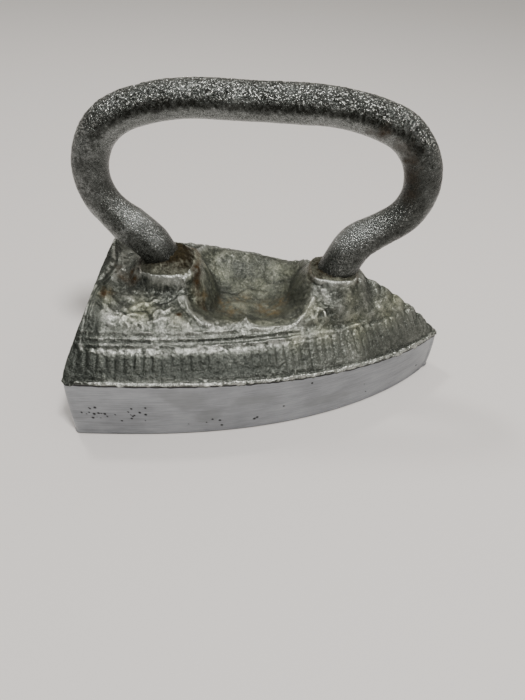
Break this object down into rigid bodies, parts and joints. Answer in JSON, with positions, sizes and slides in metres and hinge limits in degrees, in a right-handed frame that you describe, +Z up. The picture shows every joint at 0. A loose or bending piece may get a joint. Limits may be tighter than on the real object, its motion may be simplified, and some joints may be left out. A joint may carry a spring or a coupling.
{
  "type": "sad iron",
  "caption": "Small cast-iron sad iron: ground pointed sole block, fluted and ornamented crown, and a bent round bar handle standing in two socket posts.",
  "frame": {"origin": "middle of the sole's length and width, on the ironing face", "axes": "+X towards the tip, +Y across to the iron's left side, +Z up through the handle"},
  "size_m": [0.139, 0.09, 0.1095],
  "materials": {
    "body_iron": "sand-cast grey iron, rough and worn bright on high spots, with the sides of the sole ground to a satin finish",
    "handle_iron": "forged round bar, scaled and pitted, worn bright on its top",
    "socket_rust": "dull brown rusted packing"
  },
  "bodies": {
    "root": {"body_casting": "body_iron", "handle_bar": "handle_iron", "rear_socket_packing": "socket_rust", "front_socket_packing": "socket_rust"}
  },
  "joints": []
}
